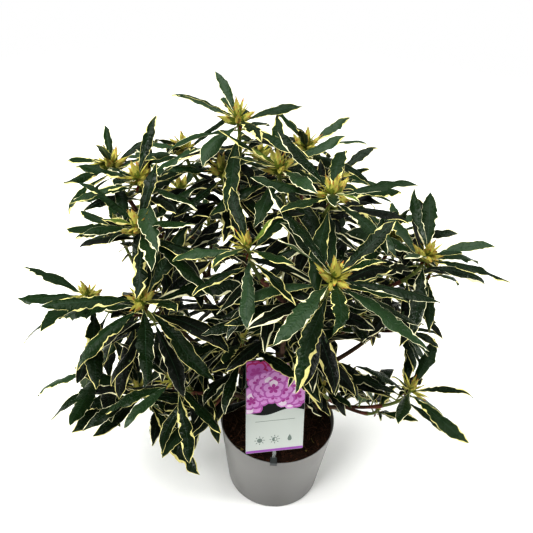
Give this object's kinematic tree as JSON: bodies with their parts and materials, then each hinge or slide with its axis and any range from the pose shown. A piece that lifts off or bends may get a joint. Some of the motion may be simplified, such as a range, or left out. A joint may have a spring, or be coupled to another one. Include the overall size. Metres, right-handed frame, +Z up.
{
  "type": "potted rhododendron shrub",
  "caption": "Bushy evergreen shrub with whorls of narrow cream-edged leaves and pointed flower buds, growing in a round tapered plastic pot filled with peat.",
  "frame": {"origin": "middle of the pot's flat underside, at the level that it stands on", "axes": "+Z up along the pot's axis, +X to the right and +Y to the back as seen from the front, where the label stands"},
  "size_m": [0.7622, 0.6242, 0.7806],
  "materials": {
    "pot_plastic": "moulded, satin",
    "potting_soil": "loose crumbs",
    "label_card": "printed, satin",
    "clear_plastic": "clear, glossy",
    "bark": "matt, finely cracked",
    "foliage": "leathery, satin"
  },
  "bodies": {
    "root": {"pot": "pot_plastic", "potting_soil": "potting_soil", "label_card": "label_card", "label_stake": "clear_plastic", "trunk": "bark", "bough_top_left": "bark", "bough_top_right": "bark", "bough_left_upper": "bark", "bough_left_middle": "bark", "bough_left_low": "bark", "bough_front_low": "bark", "bough_front_upper": "bark", "bough_inner": "bark", "bough_right_upper": "bark", "bough_right_middle": "bark", "bough_right_low": "bark", "bough_back_upper": "bark", "bough_back_left": "bark", "bough_back_right": "bark", "foliage_top_left": "foliage", "foliage_top_right": "foliage", "foliage_left_upper": "foliage", "foliage_left_middle": "foliage", "foliage_left_low": "foliage", "foliage_front_low": "foliage", "foliage_front_upper": "foliage", "foliage_inner": "foliage", "foliage_right_upper": "foliage", "foliage_right_middle": "foliage", "foliage_right_low": "foliage", "foliage_back_upper": "foliage", "foliage_back_left": "foliage", "foliage_back_right": "foliage"}
  },
  "joints": []
}
